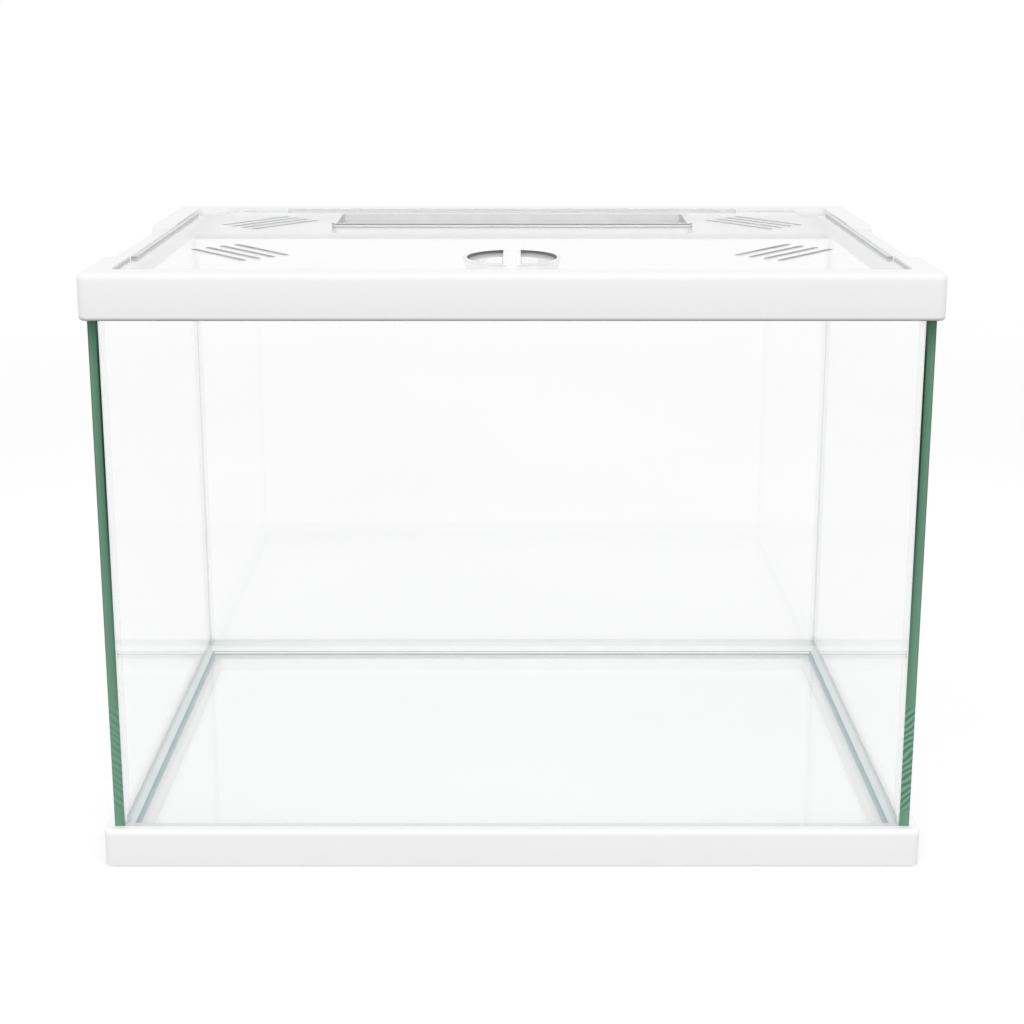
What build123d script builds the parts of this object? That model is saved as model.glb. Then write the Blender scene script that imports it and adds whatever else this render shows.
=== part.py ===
from build123d import *
import os

# Framed glass aquarium with a clear lift-off lid.
# Millimetres, Z up, front towards -Y, origin under the middle of the base.

# Overall size
glass_length = 400.0
glass_depth = 250.0
overall_height = 302.0

# Glass and the silicone between the panes
wall_glass = 5.0
floor_glass = 5.0
pane_joint = 0.6
floor_joint = 1.0
corner_bead = 2.5
floor_bead = 4.5

# Moulded frames where they meet the glass
glass_clearance = 0.3

# Base frame
base_height = 20.0
base_overhang = 5.0
base_wall = 2.8
base_lip = 2.0
base_shelf = 3.0
base_seat_height = 8.0
base_seat_width = 7.0
base_seat_wall = 2.0
base_corner = 4.0
base_top_round = 1.8
base_foot_chamfer = 0.8
base_bond_height = 9.0
base_rib_pitch = 45.0

# Top frame
top_height = 22.5
top_overhang = 4.0
top_wall = 2.4
rail_width = 14.0
rail_skin = 2.5
rail_drop = 4.0
rail_drop_front = 50.0
rail_drop_back = 82.0
ledge_reach = 6.0
ledge_thickness = 2.0
inner_skirt_wall = 2.0
inner_skirt_height = 19.0
top_corner = 5.0
top_round = 2.6
drop_round = 1.6
skirt_round = 1.6
rebate_corner = 3.0
top_bond_height = 8.0
top_bond_recess = 5.0
rib_thickness = 1.6
channel_rib_pitch = 40.0

# Lid
lid_thickness = 2.6
lid_clearance = 0.6
lid_seat_clearance = 0.1
lid_corner = 2.4
lid_lip_width = 3.0
lid_lip_drop = 0.1
back_lip_length = 272.0
notch_width = 18.0
notch_depth = 22.0
notch_corner = 2.0

# Round finger grip in the lid
grip_diameter = 45.0
grip_setback = 57.0
grip_depth = 12.0
grip_wall = 2.0
grip_taper = 2.5
grip_bar_width = 9.4
grip_floor_round = 2.0
grip_edge_round = 0.6

# Vent slots in the lid
slots_per_corner = 4
slot_length = 50.0
slot_width = 3.0
slot_pitch = 8.5
slot_turn = 49.0
slot_group_x = 139.0
front_slots_y = -52.0
rear_slots_y = 60.0

# Rear opening in the lid
rear_opening_width = 200.0
rear_opening_depth = 39.0
rear_opening_corner = 2.0
rear_opening_y = 68.0
rear_rim_width = 3.0
rear_rim_below = 4.0

# Two places closer than this are the same place
closeness = 0.01

# Sizes that follow from the ones above
inner_length = glass_length - 2 * wall_glass
inner_depth = glass_depth - 2 * wall_glass
base_length = glass_length + 2 * base_overhang
base_depth = glass_depth + 2 * base_overhang
top_length = glass_length + 2 * top_overhang
top_depth = glass_depth + 2 * top_overhang
rebate_length = top_length - 2 * rail_width
rebate_depth = top_depth - 2 * rail_width
low_rail_z = overall_height - rail_drop
pane_top = low_rail_z - rail_skin
channel_roof = overall_height - rail_skin
skirt_bottom = overall_height - top_height
inner_skirt_bottom = overall_height - inner_skirt_height
floor_top = base_seat_height + floor_glass
lid_bottom = low_rail_z + lid_seat_clearance
lid_top = lid_bottom + lid_thickness
lip_top = overall_height - lid_lip_drop
lid_length = rebate_length - 2 * lid_clearance
lid_depth = rebate_depth - 2 * lid_clearance
lid_back = lid_depth / 2
side_lip_front = -glass_depth / 2 + rail_drop_front


def slab(length, depth, low, high, corner=0.0):
    """Upright prism centred on the origin, with rounded corners if asked."""
    with BuildSketch(Plane.XY.offset(low)) as outline:
        if corner:
            RectangleRounded(length, depth, corner)
        else:
            Rectangle(length, depth)
    return extrude(outline.sketch, high - low)


def ring(outer, inner, low, high):
    """Rectangular ring between an outer and an inner (length, depth)."""
    return slab(*outer, low, high) - slab(*inner, low, high)


def grown(length, depth, margin):
    """The same rectangle with a margin added on every side."""
    return length + 2 * margin, depth + 2 * margin


def block(x, y, z):
    """Box from its (low, high) pair along each axis."""
    box = Box(x[1] - x[0], y[1] - y[0], z[1] - z[0])
    return Pos((x[0] + x[1]) / 2, (y[0] + y[1]) / 2, (z[0] + z[1]) / 2) * box


def evenly(span, pitch):
    """Places along a span, evenly spaced about its middle."""
    count = int(span // pitch)
    step = span / (count + 1)
    return [-span / 2 + step * (i + 1) for i in range(count)]


def cross_ribs(outer, inner, low, high, pitch):
    """Ribs across all four sides of a rectangular ring."""
    ribs = []
    for x in evenly(inner[0], pitch):
        for side in (-1, 1):
            y = sorted((side * inner[1] / 2, side * outer[1] / 2))
            ribs.append(block((x - rib_thickness / 2, x + rib_thickness / 2), y, (low, high)))
    for y in evenly(inner[1], pitch):
        for side in (-1, 1):
            x = sorted((side * inner[0] / 2, side * outer[0] / 2))
            ribs.append(block(x, (y - rib_thickness / 2, y + rib_thickness / 2), (low, high)))
    return ribs


def on_outside(edge):
    """True for an edge on the top frame's outer faces or corners."""
    middle = edge @ 0.5
    past_x = abs(middle.X) > top_length / 2 - top_corner
    past_y = abs(middle.Y) > top_depth / 2 - top_corner
    return past_x or past_y


def make_base_frame():
    """Moulded foot frame: outer wall, lip, shelf for the walls and seat for the floor."""
    body = slab(base_length, base_depth, 0, base_height, base_corner)
    body = fillet(body.faces().sort_by(Axis.Z)[-1].edges(), base_top_round)
    body = chamfer(body.faces().sort_by(Axis.Z)[0].edges(), base_foot_chamfer)

    glass_fit = grown(glass_length, glass_depth, glass_clearance)
    cavity = grown(base_length, base_depth, -base_wall)
    seat = grown(inner_length, inner_depth, -glass_clearance)
    opening = grown(*seat, -base_seat_width)
    body -= slab(*glass_fit, base_seat_height, base_height)
    body -= ring(cavity, seat, base_shelf, base_seat_height)
    body -= ring(cavity, glass_fit, base_seat_height, base_height - base_lip)
    body -= slab(*opening, 0, base_seat_height)

    core_outer = grown(*seat, -base_seat_wall)
    core_inner = grown(*opening, base_seat_wall)
    core_roof = base_seat_height - base_seat_wall
    core = ring(core_outer, core_inner, 0, core_roof)
    for rib in cross_ribs(core_outer, core_inner, base_foot_chamfer, core_roof, base_rib_pitch):
        core -= rib
    return body - core


def make_top_frame():
    """Moulded rim frame: U channel over the glass, rebate and ledge for the lid, low side rails."""
    body = slab(top_length, top_depth, skirt_bottom, overall_height, top_corner)
    drop_y = (-glass_depth / 2 + rail_drop_front, glass_depth / 2 - rail_drop_back)
    for side in (-1, 1):
        drop_x = sorted((side * rebate_length / 2, side * top_length / 2))
        body -= block(drop_x, drop_y, (low_rail_z, overall_height))
    body -= slab(rebate_length, rebate_depth, low_rail_z, overall_height, rebate_corner)

    top_faces = [f for f in body.faces() if abs(f.center().Z - overall_height) < closeness]
    rim_edges = [e for f in top_faces for e in f.edges() if on_outside(e)]
    body = fillet(rim_edges, top_round)
    low_edges = [
        e
        for e in body.edges().filter_by(Axis.Y)
        if abs((e @ 0.5).Z - low_rail_z) < closeness and abs(abs((e @ 0.5).X) - top_length / 2) < closeness
    ]
    body = fillet(low_edges, drop_round)
    body = fillet(body.faces().sort_by(Axis.Z)[0].edges(), skirt_round)

    channel_outer = grown(top_length, top_depth, -top_wall)
    channel_inner = grown(inner_length, inner_depth, -glass_clearance)
    skirt_inner = grown(*channel_inner, -inner_skirt_wall)
    ledge_inner = grown(rebate_length, rebate_depth, -ledge_reach)
    body -= ring(channel_outer, channel_inner, skirt_bottom, pane_top)
    body -= slab(*channel_outer, skirt_bottom, inner_skirt_bottom)
    body -= slab(*skirt_inner, skirt_bottom, low_rail_z - ledge_thickness)
    body -= slab(*ledge_inner, skirt_bottom, overall_height, rebate_corner)

    # The thick stretches of rail are cored from below, and ribs there bear on the glass.
    core = ring(channel_outer, channel_inner, pane_top, channel_roof)
    core_y = (drop_y[0] - rail_skin, drop_y[1] + rail_skin)
    for side in (-1, 1):
        core_x = sorted((side * channel_inner[0] / 2, side * channel_outer[0] / 2))
        core -= block(core_x, core_y, (pane_top, channel_roof))
    for rib in cross_ribs(channel_outer, channel_inner, pane_top, channel_roof, channel_rib_pitch):
        core -= rib
    return body - core


def make_panes():
    """The four wall panes, the front and back ones set between the side ones, and the floor."""
    panes = {}
    wall_z = (base_shelf, pane_top)
    between = inner_length / 2 - pane_joint
    for name, side in (("front_pane", -1), ("back_pane", 1)):
        y = sorted((side * inner_depth / 2, side * glass_depth / 2))
        panes[name] = block((-between, between), y, wall_z)
    for name, side in (("left_pane", -1), ("right_pane", 1)):
        x = sorted((side * inner_length / 2, side * glass_length / 2))
        panes[name] = block(x, (-glass_depth / 2, glass_depth / 2), wall_z)
    floor = grown(inner_length, inner_depth, -floor_joint)
    panes["floor_pane"] = slab(*floor, base_seat_height, floor_top)
    return panes


def cove(x, y, z_low, z_high):
    """Upright silicone cove that fills one inside corner of the tank, with a hollow face."""
    sx = 1 if x > 0 else -1
    sy = 1 if y > 0 else -1
    with BuildSketch(Plane.XY.offset(z_low)) as outline:
        with Locations((x - sx * corner_bead / 2, y - sy * corner_bead / 2)):
            Rectangle(corner_bead, corner_bead)
        with Locations((x - sx * corner_bead, y - sy * corner_bead)):
            Circle(corner_bead, mode=Mode.SUBTRACT)
    return extrude(outline.sketch, z_high - z_low)


def make_corner_seals():
    """One bead per upright corner: the film between two panes and the cove inside them."""
    seals = {}
    cove_low = floor_top + floor_bead
    cove_high = inner_skirt_bottom
    for front, sy in (("front", -1), ("back", 1)):
        for hand, sx in (("left", -1), ("right", 1)):
            corner_x = sx * inner_length / 2
            corner_y = sy * inner_depth / 2
            film_x = sorted((corner_x, corner_x - sx * pane_joint))
            film_y = sorted((corner_y, sy * glass_depth / 2))
            film = block(film_x, film_y, (base_shelf, pane_top))
            seals[f"{front}_{hand}_corner_seal"] = film + cove(corner_x, corner_y, cove_low, cove_high)
    return seals


def make_floor_seals():
    """One bead per floor seam, mitred in the corners: the film at the floor's edge and its cove."""
    floor = grown(inner_length, inner_depth, -floor_joint)
    film = ring((inner_length, inner_depth), floor, base_seat_height, floor_top)
    room = slab(inner_length, inner_depth, floor_top, floor_top + 2 * floor_bead)
    rounded = fillet(room.faces().sort_by(Axis.Z)[0].edges(), floor_bead)
    bead = film + (room - rounded)

    half_x = inner_length / 2
    half_y = inner_depth / 2
    shoulder = half_x - half_y
    front_run = [(-half_x, -half_y), (half_x, -half_y), (shoulder, 0), (-shoulder, 0)]
    right_run = [(half_x, -half_y), (half_x, half_y), (shoulder, 0)]
    seals = {}
    for name, points, turn in (
        ("front_floor_seal", front_run, 0),
        ("back_floor_seal", front_run, 180),
        ("right_floor_seal", right_run, 0),
        ("left_floor_seal", right_run, 180),
    ):
        with BuildSketch(Plane.XY.offset(base_seat_height)) as outline:
            Polygon(*points, align=None)
        wedge = extrude(outline.sketch, floor_glass + 2 * floor_bead)
        seals[name] = bead & (Rot(0, 0, turn) * wedge)
    return seals


def make_frame_bonds():
    """Silicone rings that hold each frame's outer wall to the glass."""
    glass = (glass_length, glass_depth)
    top_wall_face = grown(top_length, top_depth, -top_wall)
    base_wall_face = grown(base_length, base_depth, -base_wall)
    top_low = skirt_bottom + top_bond_recess
    return {
        "top_frame_bond": ring(top_wall_face, glass, top_low, top_low + top_bond_height),
        "base_frame_bond": ring(base_wall_face, glass, base_shelf, base_shelf + base_bond_height),
    }


def finger_pocket(side, margin, low, high):
    """D-shaped pocket on one side of the grip's bar, grown by a margin, tapering downwards."""
    grip_y = -glass_depth / 2 + grip_setback
    top_radius = grip_diameter / 2 + margin
    foot_radius = top_radius - grip_taper
    drum = Cone(foot_radius, top_radius, high - low, align=(Align.CENTER, Align.CENTER, Align.MIN))
    drum = Pos(0, grip_y, low) * drum
    near = grip_bar_width / 2 - margin
    far = near + 2 * top_radius
    y = (grip_y - top_radius, grip_y + top_radius)
    return drum & block(sorted((side * near, side * far)), y, (low, high))


def lid_outline():
    """Plate of the lid with its back corners notched for a cable and an air hose."""
    plate = slab(lid_length, lid_depth, lid_bottom, lid_top, lid_corner)
    for side in (-1, 1):
        notch_x = sorted((side * (lid_length / 2 - notch_width), side * (lid_length / 2 + lid_corner)))
        notch = block(notch_x, (lid_back - notch_depth, lid_back + lid_corner), (lid_bottom, lid_top))
        inner_edge = notch.edges().filter_by(Axis.Z).sort_by(Axis.Y)[:2].sort_by(lambda e: abs((e @ 0.5).X))[0]
        plate -= fillet(inner_edge, notch_corner)
    return plate


def lid_lips():
    """Raised lips along both sides and the back, which stiffen the plate."""
    lips = []
    lip_y = (side_lip_front, lid_back - notch_depth - notch_corner)
    for side in (-1, 1):
        lip_x = sorted((side * (lid_length / 2 - lid_lip_width), side * lid_length / 2))
        lips.append(block(lip_x, lip_y, (lid_bottom, lip_top)))
    back_x = (-back_lip_length / 2, back_lip_length / 2)
    lips.append(block(back_x, (lid_back - lid_lip_width, lid_back), (lid_bottom, lip_top)))
    return lips


def vent_slots():
    """One group of slanted slots in each corner; the front and rear groups lean opposite ways."""
    with BuildSketch(Plane.XY.offset(lid_bottom)) as outline:
        SlotOverall(slot_length, slot_width)
    slot = extrude(outline.sketch, lid_thickness)
    slots = []
    for group_y, lean in ((front_slots_y, 1), (rear_slots_y, -1)):
        for side in (-1, 1):
            place = Pos(side * slot_group_x, group_y, 0) * Rot(0, 0, side * lean * slot_turn)
            for i in range(slots_per_corner):
                across = (i - (slots_per_corner - 1) / 2) * slot_pitch
                slots.append(place * Pos(0, across, 0) * slot)
    return slots


def on_grip_edge(edge):
    """True for an upper edge of the finger pockets."""
    middle = edge @ 0.5
    from_middle = abs(middle - Vector(0, -glass_depth / 2 + grip_setback, lid_top))
    return abs(middle.Z - lid_top) < closeness and from_middle < grip_diameter / 2 + closeness


def make_lid():
    """Clear lid: plate, lips, vents, finger grip of two pockets and a bar, rimmed rear opening."""
    lid = lid_outline()
    for lip in lid_lips():
        lid += lip
    for slot in vent_slots():
        lid -= slot

    rim = grown(rear_opening_width, rear_opening_depth, rear_rim_width)
    rim_corner = rear_opening_corner + rear_rim_width
    curb = slab(*rim, lid_bottom - rear_rim_below, lip_top, rim_corner)
    cut = slab(rear_opening_width, rear_opening_depth, lid_bottom - rear_rim_below, lip_top, rear_opening_corner)
    lid = (lid + Pos(0, rear_opening_y, 0) * curb) - Pos(0, rear_opening_y, 0) * cut

    pocket_floor = lid_top - grip_depth
    for side in (-1, 1):
        lid += finger_pocket(side, grip_wall, pocket_floor - grip_wall, lid_bottom)
    for side in (-1, 1):
        void = finger_pocket(side, 0.0, pocket_floor, lid_top)
        void = fillet(void.faces().sort_by(Axis.Z)[0].edges(), grip_floor_round)
        lid -= void
    return fillet([e for e in lid.edges() if on_grip_edge(e)], grip_edge_round)


parts = {
    "base_frame": make_base_frame(),
    "top_frame": make_top_frame(),
    "lid": make_lid(),
}
parts.update(make_panes())
parts.update(make_corner_seals())
parts.update(make_floor_seals())
parts.update(make_frame_bonds())

os.makedirs("parts", exist_ok=True)
for name, solid in parts.items():
    print(name, "solids", len(solid.solids()), "volume", round(solid.volume, 1))
    export_step(solid, f"parts/{name}.step")
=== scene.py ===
import math

import bpy
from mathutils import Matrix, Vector


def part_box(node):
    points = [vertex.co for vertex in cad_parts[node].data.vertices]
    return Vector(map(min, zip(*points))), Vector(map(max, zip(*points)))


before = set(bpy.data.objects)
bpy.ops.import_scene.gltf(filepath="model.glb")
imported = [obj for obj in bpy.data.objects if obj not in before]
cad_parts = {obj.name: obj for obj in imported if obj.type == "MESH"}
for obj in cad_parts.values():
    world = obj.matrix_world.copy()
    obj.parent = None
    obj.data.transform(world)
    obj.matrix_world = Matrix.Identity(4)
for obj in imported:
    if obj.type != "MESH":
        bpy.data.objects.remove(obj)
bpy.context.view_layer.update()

# Camera in metres and degrees. Its distance is taken from the glass's front edges.
LENS_MM = 58.26
SENSOR_MM = 36.0
CAMERA_DISTANCE = 0.7652
CAMERA_HEIGHT = 0.429
CAMERA_PITCH = 12.38
FRAME_SHIFT = -0.15

# World strengths are shares of plain white. Lamps are in metres and watts.
WORLD_SEEN = 1.0
WORLD_LIGHT = 0.8
TOP_LAMP = {"place": (0.0, -0.2, 2.2), "target": (0.0, 0.0, 0.2), "size": 2.4, "watts": 6.5}
FRONT_LAMP = {"place": (0.0, -2.2, 1.2), "target": (0.0, 0.0, 0.15), "size": 1.6, "watts": 16.0}

# Matt white studio floor. Its glow shows to the camera only, and grows with the distance from the tank.
FLOOR_SIZE = 12.0
FLOOR_ALBEDO = 0.6
FLOOR_MOTTLE = 0.01
GLOW_NEAR = 0.43
GLOW_FAR = 0.53
GLOW_NEAR_REACH = 0.9
GLOW_FAR_REACH = 2.5

# Added to the floor inside the tank's walls, so that it stays white when seen through the glass.
UNDER_TANK_ALBEDO = 0.32
UNDER_TANK_GLOW = -0.28

# Places in the frame that the materials follow, in metres.
SIDE_LOW, SIDE_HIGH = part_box("left_pane")
_, FRONT_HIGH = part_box("front_pane")
_, FLOOR_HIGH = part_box("floor_pane")
_, LID_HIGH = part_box("lid")
_, SEAL_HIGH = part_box("front_floor_seal")
BASE_LOW, BASE_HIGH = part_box("base_frame")
RIM_LOW, RIM_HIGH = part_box("top_frame")
INNER_X = -SIDE_HIGH.x
INNER_Y = -FRONT_HIGH.y
GLASS = SIDE_HIGH.x - SIDE_LOW.x
BEAD = SEAL_HIGH.z - FLOOR_HIGH.z
WALL_BLUR = 0.0002

# White frames: how far the painted highlight at the top reaches down, how far in from a frame's outside and
# how far below the lid its surface counts as inside and is painted brighter, and the height of the painted
# shade on the foot.
HIGHLIGHT_FADE = 0.0034
HIGHLIGHT_FULL = 0.0022
FRAME_INSET = 0.0022
FRAME_BLUR = 0.0001
BELOW_LID = 0.0005
FOOT_SHADE_HEIGHT = 0.0023

# Side panes' front edges, as heights above the base frame or depths below the rim frame.
DARK_LINE_CLEARANCE = 0.06
RIM_SHADE_DEPTH = 0.022
PALE_HEIGHT = 0.2
RIPPLE_LOW = 0.012
RIPPLE_HIGH = 0.06
RIPPLE_BLUR = 0.006

# The painted refraction stripes' phase in radians: per metre of height, over the glass's thickness, and by
# noise.
RIPPLES_UP = 1700.0
RIPPLES_ACROSS = -7.0
RIPPLE_WANDER = 9.0

# Wall panes are milky up to the base frame's lip: this stands in for silicone and also paints over the shade
# on the frame behind the glass.
BED_COVER = 0.75
BED_BLUR = 0.0003

# Floor beads: their bands wander a little, and the film below the floor's top is nearly clear.
SEAM_WANDER = 0.04
FILM_COVER = 0.1
FILM_CLEAR = 0.0003
FILM_FADE = 0.0001

# Lid: its plate and raised lips, the round grip and the rear opening's curb.
LID_PLATE = 0.0026
LID_LIP = 0.0012
LID_LIP_WIDTH = 0.003
LID_TOP = LID_HIGH.z - LID_LIP
LID_BOTTOM = LID_TOP - LID_PLATE
LIP_BLUR = 0.0004
BACK_LIP_BLUR = 0.001
GRIP_Y = -0.068
GRIP_REACH = 0.026
GRIP_BLUR = 0.002
GRIP_LINE_LOW = 0.0018
GRIP_LINE_HIGH = 0.001
CURB_X = 0.104
CURB_X_BLUR = 0.0005
CURB_FRONT = 0.0455
CURB_BACK = 0.0875
CURB_BACK_WALL = 0.0006
CURB_LINE_LOW = 0.0005
CURB_LINE_HIGH = 0.0006
UNDER_PLATE_FULL = 0.0012
UNDER_PLATE_FADE = 0.0004

# Small lengths: the bevel on a pane's edges, the hair between skins, and the depths of bumps.
EDGE_BEVEL = 0.0004
BEVEL_DEGREES = 50.0
SKIN_GAP = 0.00003
BUMP_DEPTH = 0.0006
GRAIN_DEPTH = 0.0003

# Refractive indices, and the tints of light that passes straight through.
FRAME_IOR = 1.5
GLASS_IOR = 1.5
LID_IOR = 1.49
SILICONE_IOR = 1.41
GLASS_TINT = (0.985, 0.99, 0.988, 1.0)
LID_TINT = (0.975, 0.978, 0.978, 1.0)
POCKET_TINT = (0.985, 0.987, 0.987, 1.0)
SILICONE_TINT = (0.93, 0.945, 0.943, 1.0)
CORNER_TINT = (0.99, 0.992, 0.992, 1.0)
FLOOR_BEAD_TINT = (0.985, 0.99, 0.989, 1.0)

# Most of a noise's values lie between these.
NOISE_LOW = 0.3
NOISE_HIGH = 0.7


def tone(red, green=None, blue=None):
    """Linear RGBA of a colour given as it should show, 0 to 255. One number is a grey."""
    values = (red, red if green is None else green, red if blue is None else blue)
    shares = [v / 255.0 for v in values]
    return tuple(s / 12.92 if s <= 0.04045 else ((s + 0.055) / 1.055) ** 2.4 for s in shares) + (1.0,)


# Floor beads as (share of the way from the wall edge to the floor edge, colour, cover). The colours paint
# the bead's light and shade: pale on the wall side, then dark lines of painted shade and refraction where it
# turns to the floor and at its floor edge.
SIDE_SEAM = [
    (0.0, tone(254, 255, 255), 0.85),
    (0.1, tone(252, 255, 255), 0.9),
    (0.58, tone(236, 246, 246), 0.9),
    (0.63, tone(148, 168, 170), 0.95),
    (0.69, tone(148, 168, 170), 0.95),
    (0.75, tone(164, 182, 183), 0.95),
    (0.92, tone(174, 191, 192), 0.95),
    (1.0, tone(196, 208, 208), 0.9),
]
CROSS_SEAM = [
    (0.0, tone(254, 255, 255), 0.85),
    (0.1, tone(252, 255, 254), 0.9),
    (0.54, tone(252, 255, 254), 0.9),
    (0.58, tone(168, 176, 175), 0.9),
    (0.64, tone(168, 176, 175), 0.9),
    (0.68, tone(254, 255, 255), 0.9),
    (0.84, tone(254, 255, 255), 0.9),
    (0.88, tone(118, 124, 124), 0.92),
]


class Shading:
    """One node material, with short calls that add nodes and join them."""

    def __init__(self, name):
        self.material = bpy.data.materials.new(name)
        self.material.use_nodes = True
        self.tree = self.material.node_tree
        self.tree.nodes.clear()
        self.out = self.tree.nodes.new("ShaderNodeOutputMaterial")
        self.place = self.node("ShaderNodeTexCoord").outputs["Object"]
        self.x, self.y, self.z = self.parts_of(self.place)
        self.geometry = self.node("ShaderNodeNewGeometry")

    def put(self, socket, value):
        """Join an output to an input socket, or set the input's own value."""
        if isinstance(value, bpy.types.NodeSocket):
            self.tree.links.new(value, socket)
        else:
            socket.default_value = value

    def node(self, kind, inputs=None, **settings):
        made = self.tree.nodes.new(kind)
        for key, value in settings.items():
            setattr(made, key, value)
        for key, value in (inputs or {}).items():
            self.put(made.inputs[key], value)
        return made

    def parts_of(self, vector):
        return self.node("ShaderNodeSeparateXYZ", {0: vector}).outputs[:3]

    def maths(self, operation, a, b=0.0, c=0.0):
        return self.node("ShaderNodeMath", {0: a, 1: b, 2: c}, operation=operation).outputs[0]

    def times(self, *values):
        product = values[0]
        for value in values[1:]:
            product = self.maths("MULTIPLY", product, value)
        return product

    def size_of(self, value):
        return self.maths("ABSOLUTE", value)

    def rest_of(self, share):
        """What a share leaves of 1."""
        return self.maths("SUBTRACT", 1.0, share)

    def step(self, value, low, high, start=0.0, end=1.0):
        """Smooth change from start to end as the value goes from low to high."""
        made = self.node(
            "ShaderNodeMapRange",
            {"Value": value, "From Min": low, "From Max": high, "To Min": start, "To Max": end},
            interpolation_type="SMOOTHSTEP",
        )
        return made.outputs["Result"]

    def until(self, value, limit, blur):
        """Share that is 1 up to a limit and fades out over the blur beyond it."""
        return self.step(value, limit, limit + blur, 1.0, 0.0)

    def between(self, value, low, high, blur):
        """Share that is 1 between two values and fades out over the blur on both sides."""
        return self.times(self.step(value, low - blur, low), self.until(value, high, blur))

    def vary(self, noise, low, high):
        """Value that drifts from low to high with a noise."""
        return self.step(noise, NOISE_LOW, NOISE_HIGH, low, high)

    def inside_glass(self):
        """Share that is 1 within the walls' inner faces."""
        in_x = self.until(self.size_of(self.x), INNER_X - WALL_BLUR, WALL_BLUR)
        in_y = self.until(self.size_of(self.y), INNER_Y - WALL_BLUR, WALL_BLUR)
        return self.times(in_x, in_y)

    def noise(self, scale, detail=2.0, roughness=0.5, stretch=(1.0, 1.0, 1.0)):
        where = self.node("ShaderNodeMapping", {"Vector": self.place, "Scale": stretch}).outputs[0]
        inputs = {"Vector": where, "Scale": scale, "Detail": detail, "Roughness": roughness}
        return self.node("ShaderNodeTexNoise", inputs).outputs["Fac"]

    def ramp(self, value, stops):
        """Colour that runs through (place, colour) stops."""
        made = self.node("ShaderNodeValToRGB", {"Fac": value})
        elements = made.color_ramp.elements
        while len(elements) < len(stops):
            elements.new(0.5)
        for element, (where, colour) in zip(elements, stops):
            element.position = where
            element.color = colour
        return made.outputs["Color"]

    def blend(self, share, a, b):
        made = self.node("ShaderNodeMix", data_type="RGBA")
        for socket, value in ((made.inputs[0], share), (made.inputs[6], a), (made.inputs[7], b)):
            self.put(socket, value)
        return made.outputs[2]

    def bump(self, height, distance, strength=1.0, normal=None):
        inputs = {"Height": height, "Distance": distance, "Strength": strength}
        if normal is not None:
            inputs["Normal"] = normal
        return self.node("ShaderNodeBump", inputs).outputs["Normal"]

    def principled(self, **inputs):
        named = {key.replace("_", " "): value for key, value in inputs.items()}
        return self.node("ShaderNodeBsdfPrincipled", named).outputs[0]

    def mix(self, share, a, b):
        return self.node("ShaderNodeMixShader", {0: share, 1: a, 2: b}).outputs[0]

    def see_through(self, colour):
        return self.node("ShaderNodeBsdfTransparent", {"Color": colour}).outputs[0]

    def clear_to_light(self, shader, tint):
        """Let light from the lamps and the sky pass straight through, as thin clear parts do."""
        path = self.node("ShaderNodeLightPath").outputs
        passing = self.maths("MAXIMUM", path["Is Shadow Ray"], path["Is Diffuse Ray"])
        return self.mix(passing, shader, self.see_through(tint))

    def finish(self, shader):
        self.tree.links.new(shader, self.out.inputs["Surface"])
        return self.material


def white_plastic(name, low, high, inner_top, shade, highlight_level, foot_shade, crowning):
    """Moulded white plastic: crowned walls, a painted highlight on the top faces, inside faces painted
    brighter against their shade, a painted shade on the foot, mottling and fine grain.

    Shades are levels as they should show, 0 to 255. The crowning is a share of half the frame's height.
    """
    m = Shading(name)
    cloud = m.noise(9.0, detail=3.0)
    colour = m.blend(cloud, tone(shade - 2), tone(shade + 2))
    # Painted highlight: faces that look up, and a band just under the top edge, are painted lighter as if
    # lit from above.
    facing_up = m.step(m.parts_of(m.geometry.outputs["Normal"])[2], 0.2, 0.8)
    painted_highlight = m.maths("MAXIMUM", facing_up, m.step(m.z, high.z - HIGHLIGHT_FADE, high.z - HIGHLIGHT_FULL))
    colour = m.blend(painted_highlight, colour, m.blend(cloud, tone(highlight_level - 2), tone(highlight_level)))
    # Painted light: the frame's inside faces are painted near white, to lift the shade they sit in behind
    # the glass.
    inside = m.times(
        m.until(m.size_of(m.x), high.x - FRAME_INSET, FRAME_BLUR),
        m.until(m.size_of(m.y), high.y - FRAME_INSET, FRAME_BLUR),
        m.until(m.z, inner_top - 2 * FRAME_BLUR, FRAME_BLUR),
    )
    colour = m.blend(inside, colour, m.blend(cloud, tone(252), tone(255)))
    # Painted shade on the foot: the bottom band takes the foot shade, dark under the rim frame and near
    # white on the base to lift its contact shade.
    foot = m.until(m.z, low.z, FOOT_SHADE_HEIGHT)
    colour = m.blend(m.times(foot, m.rest_of(inside)), colour, tone(foot_shade))
    half = (high.z - low.z) / 2
    from_middle = m.maths("DIVIDE", m.maths("SUBTRACT", m.z, low.z + half), half)
    crown = m.rest_of(m.times(from_middle, from_middle))
    normal = m.bump(crown, half * crowning)
    flow = m.noise(30.0, detail=1.0, stretch=(0.3, 1.0, 1.0))
    grain = m.noise(1400.0)
    normal = m.bump(m.maths("MULTIPLY_ADD", grain, 0.35, flow), BUMP_DEPTH, 0.06, normal)
    gloss = m.vary(cloud, 0.28, 0.38)
    return m.finish(m.principled(Base_Color=colour, Roughness=gloss, Normal=normal, IOR=FRAME_IOR))


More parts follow.
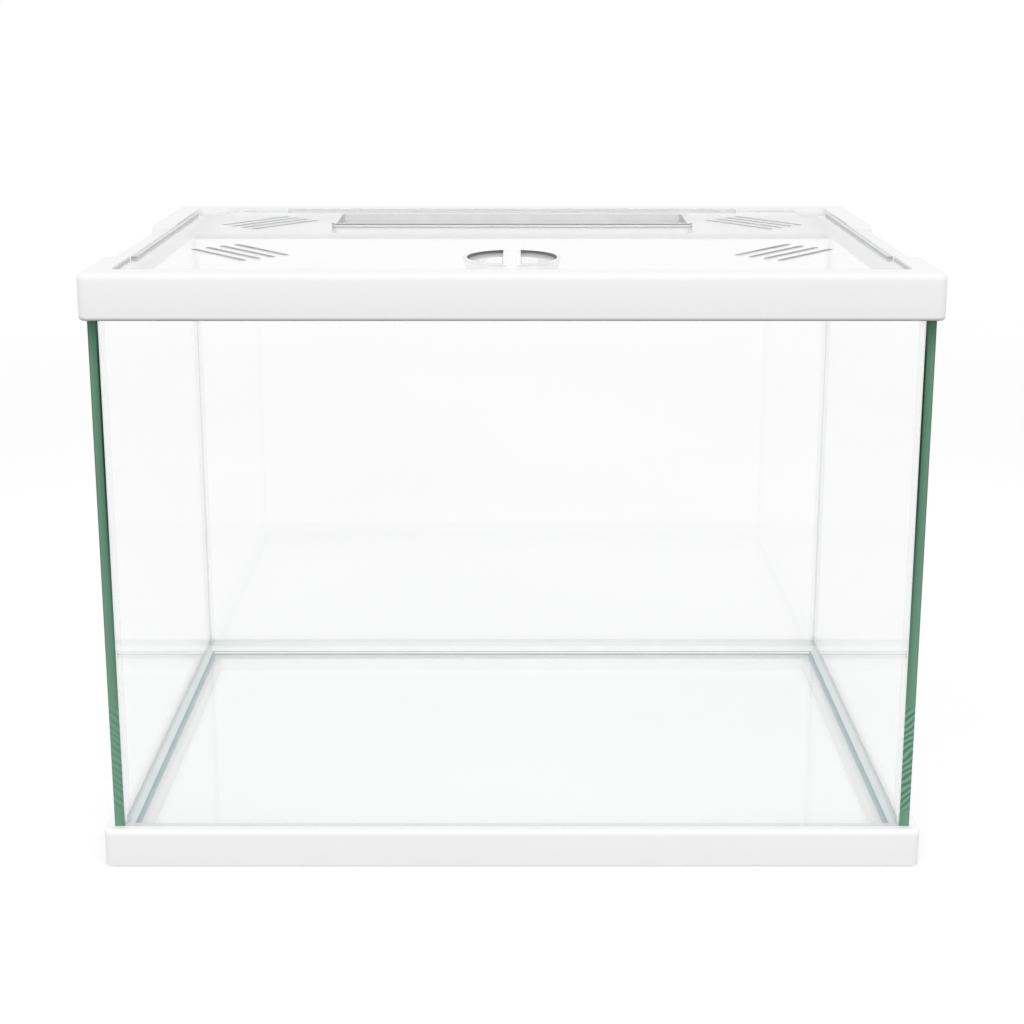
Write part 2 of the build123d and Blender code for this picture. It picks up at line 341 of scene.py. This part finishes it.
def side_edge_colour(m):
    """A side pane's narrow edge: green depth, with painted refraction and shade on it: a dark line on the
    inside, painted shade below the rim frame, paler towards the base frame, and slanted light and dark
    stripes near the foot.
    """
    across = m.maths("DIVIDE", m.maths("SUBTRACT", m.size_of(m.x), INNER_X), GLASS)
    body = m.ramp(across, [
        (0.0, tone(58, 86, 72)),
        (0.14, tone(66, 100, 84)),
        (0.3, tone(80, 124, 102)),
        (0.6, tone(92, 136, 115)),
        (0.86, tone(106, 141, 124)),
        (0.95, tone(84, 110, 97)),
        (1.0, tone(98, 122, 111)),
    ])
    foot_z = BASE_HIGH.z
    rim_z = RIM_LOW.z
    # Painted refraction: a dark line along the inner side of the edge, away from both frames.
    inner = m.step(across, 0.12, 0.26, 1.0, 0.0)
    upper = m.step(m.z, foot_z + DARK_LINE_CLEARANCE, rim_z - DARK_LINE_CLEARANCE)
    body = m.blend(m.times(inner, upper), body, tone(24, 42, 34))
    rim_shade = m.step(m.z, rim_z - RIM_SHADE_DEPTH, rim_z, 0.0, 0.75)
    body = m.blend(rim_shade, body, tone(58, 88, 72))
    pale = m.step(m.z, foot_z, foot_z + PALE_HEIGHT, 0.7, 0.0)
    body = m.blend(pale, body, tone(118, 160, 141))
    # Painted refraction: slanted light and dark stripes just above the base frame, stronger on the right
    # pane.
    wander = m.noise(90.0, detail=1.0)
    phase = m.maths("MULTIPLY_ADD", m.z, RIPPLES_UP, m.times(across, RIPPLES_ACROSS))
    phase = m.maths("MULTIPLY_ADD", wander, RIPPLE_WANDER, phase)
    ripple = m.step(m.maths("SINE", phase), -0.9, 0.9)
    striped_band = m.between(m.z, foot_z + RIPPLE_LOW, foot_z + RIPPLE_HIGH, RIPPLE_BLUR)
    stronger_right = m.step(m.x, -0.01, 0.01, 0.25, 0.7)
    refraction_stripes = m.blend(ripple, tone(70, 114, 93), tone(134, 175, 157))
    return m.blend(m.times(striped_band, stronger_right), body, refraction_stripes)


def joined_edge_colour(m):
    """Narrow edges that are set in silicone against another pane: pale, with slow drifts."""
    return m.blend(m.noise(40.0), tone(238, 245, 243), tone(249, 252, 251))


def pane_glass(name, thin_axis, edge_colour, bedded=True):
    """Float glass with clear broad faces, and ground edges that have a colour when seen from outside.

    A bedded pane is milky up to the base frame's lip, as if silicone stood between it and the frame; the
    milky band also paints over the shade on the frame's lip behind the glass.
    """
    m = Shading(name)
    smear = m.noise(3.0, detail=4.0, roughness=0.6)
    clear = m.principled(
        Base_Color=m.blend(smear, (0.977, 0.979, 0.978, 1.0), (0.985, 0.986, 0.985, 1.0)),
        Roughness=m.step(smear, 0.45, 0.8, 0.0, 0.01),
        IOR=GLASS_IOR,
        Specular_IOR_Level=0.3,
        Transmission_Weight=1.0,
    )
    clear = m.clear_to_light(clear, GLASS_TINT)
    edge = m.principled(
        Base_Color=edge_colour(m),
        Roughness=0.24,
        IOR=GLASS_IOR,
        Specular_IOR_Level=0.15,
        Normal=m.bump(m.noise(900.0), GRAIN_DEPTH, 0.08),
    )
    facing = m.parts_of(m.geometry.outputs["True Normal"])[thin_axis]
    narrow = m.step(m.size_of(facing), 0.6, 0.8, 1.0, 0.0)
    outside = m.rest_of(m.geometry.outputs["Backfacing"])
    pane = m.mix(m.times(narrow, outside), clear, edge)
    if bedded:
        # Milky band: silicone, and painted light over the shaded lip behind the glass.
        milk = m.blend(m.noise(70.0), tone(248, 251, 250), tone(255))
        bed = m.principled(Base_Color=milk, Roughness=0.35, IOR=SILICONE_IOR)
        in_frame = m.step(m.z, BASE_HIGH.z - BED_BLUR, BASE_HIGH.z, BED_COVER, 0.0)
        pane = m.mix(in_frame, pane, m.clear_to_light(bed, SILICONE_TINT))
    return m.finish(pane)


def clear_plastic():
    """Polished clear moulding. Its upright faces carry a painted grey shade in place of their refraction,
    most of all round the grip and the opening.
    """
    m = Shading("clear_plastic")
    flow = m.noise(22.0, stretch=(1.0, 0.5, 1.0))
    clear = m.principled(
        Base_Color=m.blend(flow, (0.955, 0.957, 0.958, 1.0), (0.97, 0.971, 0.971, 1.0)),
        Roughness=0.01,
        Normal=m.bump(flow, BUMP_DEPTH, 0.03),
        IOR=LID_IOR,
        Transmission_Weight=1.0,
    )
    clear = m.clear_to_light(clear, LID_TINT)

    # The painted grey, which stands in for shade and refraction, and how much of the clear plastic it
    # covers.
    across = m.size_of(m.x)
    drift = m.noise(35.0)
    grey = m.blend(drift, tone(186, 187, 188), tone(212, 213, 213))
    cover = m.vary(drift, 0.7, 0.8)

    # Grip: pockets painted pale grey, below a painted dark line.
    grip_place = (0.0, GRIP_Y, LID_TOP)
    to_grip = m.node("ShaderNodeVectorMath", {0: m.place, 1: grip_place}, operation="DISTANCE")
    at_grip = m.until(to_grip.outputs["Value"], GRIP_REACH, GRIP_BLUR)
    grip_line = m.step(m.z, LID_TOP - GRIP_LINE_LOW, LID_TOP - GRIP_LINE_HIGH)
    dark = m.blend(drift, tone(96, 97, 98), tone(140, 141, 142))
    grey = m.blend(at_grip, grey, m.blend(grip_line, tone(206, 207, 207), dark))

    # Rear opening: a painted grey line on its front curb and a far wall painted pale. The lid's back lip is
    # painted pale too.
    on_curb = m.until(across, CURB_X, CURB_X_BLUR)
    front_curb = m.times(on_curb, m.between(m.y, CURB_FRONT, CURB_FRONT + LID_LIP_WIDTH, LIP_BLUR))
    far_wall = m.times(on_curb, m.between(m.y, CURB_BACK, CURB_BACK + CURB_BACK_WALL, LIP_BLUR))
    curb_line = m.step(m.z, LID_TOP + CURB_LINE_LOW, LID_TOP + CURB_LINE_HIGH)
    curb_painted_grey = m.blend(curb_line, tone(240), m.blend(drift, tone(122), tone(140)))
    grey = m.blend(front_curb, grey, curb_painted_grey)
    grey = m.blend(far_wall, grey, m.blend(drift, tone(226), tone(234)))
    lip_y = LID_HIGH.y - LID_LIP_WIDTH
    back_lip = m.step(m.y, lip_y - BACK_LIP_BLUR, lip_y)
    grey = m.blend(back_lip, grey, m.blend(drift, tone(228), tone(240)))
    cover = m.step(back_lip, 0.0, 1.0, cover, 0.4)

    # Below the plate hardly any painted grey shows, and level faces have none, apart from a faint painted
    # line on the side lips.
    below = m.step(m.z, LID_BOTTOM - UNDER_PLATE_FULL, LID_BOTTOM - UNDER_PLATE_FADE, 1.0, 0.0)
    hidden = m.times(below, m.rest_of(far_wall))
    cover = m.step(hidden, 0.0, 1.0, cover, 0.05)
    turned = m.size_of(m.parts_of(m.geometry.outputs["True Normal"])[2])
    cover = m.times(cover, m.step(turned, 0.35, 0.8, 1.0, 0.0))
    lip_x = LID_HIGH.x - LID_LIP_WIDTH
    side_lip = m.times(
        m.step(m.z, LID_TOP + LIP_BLUR, LID_TOP + 2 * LIP_BLUR),
        m.step(across, lip_x - LIP_BLUR, lip_x),
    )
    cover = m.maths("MAXIMUM", cover, m.times(side_lip, 0.25))
    soft = m.principled(Base_Color=grey, Roughness=0.25, IOR=LID_IOR)
    plastic = m.mix(cover, clear, soft)
    pocket = m.times(below, at_grip, 0.6)
    return m.finish(m.mix(pocket, plastic, m.see_through(POCKET_TINT)))


def silicone(m, tint, ripple, roughness, strength):
    """Silicone's own surface, with a faint ripple."""
    normal = m.bump(ripple, BUMP_DEPTH, strength)
    return m.principled(Base_Color=tint, Roughness=roughness, IOR=SILICONE_IOR, Normal=normal)


def corner_silicone():
    """Thin clear bead that only shows as a faint grey line."""
    m = Shading("corner_silicone")
    ripple = m.noise(60.0, stretch=(1.0, 1.0, 0.25))
    tint = m.blend(ripple, tone(226, 228, 230), tone(240, 242, 243))
    body = silicone(m, tint, ripple, roughness=0.3, strength=0.05)
    bead = m.mix(m.vary(ripple, 0.05, 0.09), m.see_through(CORNER_TINT), body)
    return m.finish(m.clear_to_light(bead, SILICONE_TINT))


def floor_silicone(name, stops):
    """Floor bead, with colour and cover set from its edge on the wall to its edge on the floor. Its colours
    are painted light, shade and refraction lines.
    """
    m = Shading(name)
    x_gap = m.maths("SUBTRACT", INNER_X, m.size_of(m.x))
    y_gap = m.maths("SUBTRACT", INNER_Y, m.size_of(m.y))
    out = m.maths("MINIMUM", x_gap, y_gap)
    up = m.maths("SUBTRACT", m.z, FLOOR_HIGH.z)
    across = m.maths("MULTIPLY_ADD", m.maths("SUBTRACT", out, up), 0.5 / BEAD, 0.5)
    ripple = m.noise(45.0)
    place = m.maths("ADD", across, m.maths("MULTIPLY_ADD", ripple, SEAM_WANDER, -SEAM_WANDER / 2))
    tint = m.ramp(place, [(where, colour) for where, colour, _ in stops])
    tint = m.blend(m.times(ripple, 0.15), tint, tone(240, 245, 244))
    cover = m.ramp(place, [(where, (cover, cover, cover, 1.0)) for where, _, cover in stops])
    above_film = m.step(up, -FILM_CLEAR, -FILM_FADE, FILM_COVER, 1.0)
    cover = m.times(m.parts_of(cover)[0], above_film, m.vary(ripple, 0.92, 1.0))
    body = silicone(m, tint, ripple, roughness=0.3, strength=0.1)
    bead = m.mix(cover, m.see_through(FLOOR_BEAD_TINT), body)
    return m.finish(m.clear_to_light(bead, SILICONE_TINT))


def bond_silicone():
    """Milky silicone between the frames and the glass."""
    m = Shading("bond_silicone")
    ripple = m.noise(70.0)
    tint = m.blend(ripple, tone(240, 244, 243), tone(250, 252, 251))
    body = silicone(m, tint, ripple, roughness=0.35, strength=0.15)
    return m.finish(m.clear_to_light(body, SILICONE_TINT))


def seen_rays(tree):
    """Share that is 1 for rays that show the studio to the camera, straight or by gloss or glass."""
    path = tree.nodes.new("ShaderNodeLightPath")
    seen = path.outputs["Is Camera Ray"]
    for name in ("Is Glossy Ray", "Is Transmission Ray"):
        either = tree.nodes.new("ShaderNodeMath")
        either.operation = "MAXIMUM"
        tree.links.new(seen, either.inputs[0])
        tree.links.new(path.outputs[name], either.inputs[1])
        seen = either.outputs[0]
    return seen


def studio_floor():
    """White floor that keeps a soft shadow."""
    m = Shading("studio_floor")
    under = m.inside_glass()
    albedo = m.vary(m.noise(2.0), FLOOR_ALBEDO - FLOOR_MOTTLE, FLOOR_ALBEDO + FLOOR_MOTTLE)
    albedo = m.maths("MULTIPLY_ADD", under, UNDER_TANK_ALBEDO, albedo)
    matt = m.node("ShaderNodeBsdfDiffuse", {"Color": albedo})
    from_tank = m.node("ShaderNodeVectorMath", {0: m.place}, operation="LENGTH").outputs["Value"]
    glow = m.step(from_tank, GLOW_NEAR_REACH, GLOW_FAR_REACH, GLOW_NEAR, GLOW_FAR)
    glow = m.times(seen_rays(m.tree), m.maths("MULTIPLY_ADD", under, UNDER_TANK_GLOW, glow))
    glowing = m.node("ShaderNodeEmission", {"Strength": glow})
    both = m.node("ShaderNodeAddShader", {0: matt.outputs[0], 1: glowing.outputs[0]})
    return m.finish(both.outputs[0])


def dress(node, material):
    """Give one node of the frame its material."""
    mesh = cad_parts[node].data
    mesh.materials.clear()
    mesh.materials.append(material)


def ease_edges(node):
    """Narrow bevel on a pane's ground edges."""
    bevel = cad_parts[node].modifiers.new("eased_edges", "BEVEL")
    bevel.width = EDGE_BEVEL
    bevel.segments = 2
    bevel.limit_method = "ANGLE"
    bevel.angle_limit = math.radians(BEVEL_DEGREES)


def draw_in(node):
    """Bring a piece's skin in by a hair, so that it doesn't share a face with its neighbours."""
    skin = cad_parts[node].modifiers.new("drawn_in", "DISPLACE")
    skin.mid_level = 0.0
    skin.strength = -SKIN_GAP


def dress_all():
    """Give every node its material, and the panes and the silicone their modifier too."""
    dress("top_frame", white_plastic(
        "rim_plastic", RIM_LOW, RIM_HIGH, inner_top=LID_BOTTOM - BELOW_LID,
        shade=238, highlight_level=244, foot_shade=150, crowning=0.07,
    ))
    dress("base_frame", white_plastic(
        "base_plastic", BASE_LOW, BASE_HIGH, inner_top=BASE_HIGH.z,
        shade=245, highlight_level=255, foot_shade=254, crowning=0.02,
    ))
    dress("lid", clear_plastic())
    side_glass = pane_glass("side_glass", 0, side_edge_colour)
    cross_glass = pane_glass("cross_glass", 1, joined_edge_colour)
    walls = {
        "left_pane": side_glass,
        "right_pane": side_glass,
        "front_pane": cross_glass,
        "back_pane": cross_glass,
    }
    for name, glass in walls.items():
        dress(name, glass)
        ease_edges(name)
    dress("floor_pane", pane_glass("floor_glass", 2, joined_edge_colour, bedded=False))
    draw_in("floor_pane")
    corner = corner_silicone()
    side_seam = floor_silicone("side_seam", SIDE_SEAM)
    cross_seam = floor_silicone("cross_seam", CROSS_SEAM)
    bond = bond_silicone()
    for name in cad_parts:
        if name.endswith("corner_seal"):
            dress(name, corner)
        elif name in ("left_floor_seal", "right_floor_seal"):
            dress(name, side_seam)
        elif name.endswith("floor_seal"):
            dress(name, cross_seam)
        elif name.endswith("bond"):
            dress(name, bond)
        if name.endswith(("seal", "bond")):
            draw_in(name)


def light_world():
    """Even white sky, a little weaker as a light than as a background."""
    world = bpy.data.worlds.new("studio")
    world.use_nodes = True
    tree = world.node_tree
    tree.nodes.clear()
    level = tree.nodes.new("ShaderNodeMapRange")
    level.inputs["To Min"].default_value = WORLD_LIGHT
    level.inputs["To Max"].default_value = WORLD_SEEN
    tree.links.new(seen_rays(tree), level.inputs["Value"])
    sky = tree.nodes.new("ShaderNodeBackground")
    sky.inputs["Color"].default_value = (1.0, 1.0, 1.0, 1.0)
    tree.links.new(level.outputs["Result"], sky.inputs["Strength"])
    out = tree.nodes.new("ShaderNodeOutputWorld")
    tree.links.new(sky.outputs[0], out.inputs["Surface"])
    bpy.context.scene.world = world


def soft_lamp(name, place, target, size, watts):
    """Square lamp that lights the tank, and isn't seen itself or mirrored in it."""
    lamp = bpy.data.lights.new(name, "AREA")
    lamp.shape = "SQUARE"
    lamp.size = size
    lamp.energy = watts
    holder = bpy.data.objects.new(name, lamp)
    bpy.context.scene.collection.objects.link(holder)
    holder.location = place
    holder.rotation_euler = (Vector(target) - Vector(place)).to_track_quat("-Z", "Y").to_euler()
    holder.visible_camera = False
    holder.visible_transmission = False
    holder.visible_glossy = False


def lay_floor():
    half = FLOOR_SIZE / 2
    corners = [(-half, -half, 0), (half, -half, 0), (half, half, 0), (-half, half, 0)]
    mesh = bpy.data.meshes.new("studio_floor")
    mesh.from_pydata(corners, [], [(0, 1, 2, 3)])
    floor = bpy.data.objects.new("studio_floor", mesh)
    bpy.context.scene.collection.objects.link(floor)
    mesh.materials.append(studio_floor())


def set_camera():
    camera = bpy.data.cameras.new("camera")
    camera.lens = LENS_MM
    camera.sensor_width = SENSOR_MM
    camera.shift_y = FRAME_SHIFT
    holder = bpy.data.objects.new("camera", camera)
    bpy.context.scene.collection.objects.link(holder)
    holder.location = (0.0, SIDE_LOW.y - CAMERA_DISTANCE, CAMERA_HEIGHT)
    holder.rotation_euler = (math.radians(90.0 - CAMERA_PITCH), 0.0, 0.0)
    bpy.context.scene.camera = holder


dress_all()
light_world()
soft_lamp("top_lamp", **TOP_LAMP)
soft_lamp("front_lamp", **FRONT_LAMP)
lay_floor()
set_camera()
bpy.context.scene.view_settings.view_transform = "Standard"
bpy.context.scene.cycles.transparent_max_bounces = 32
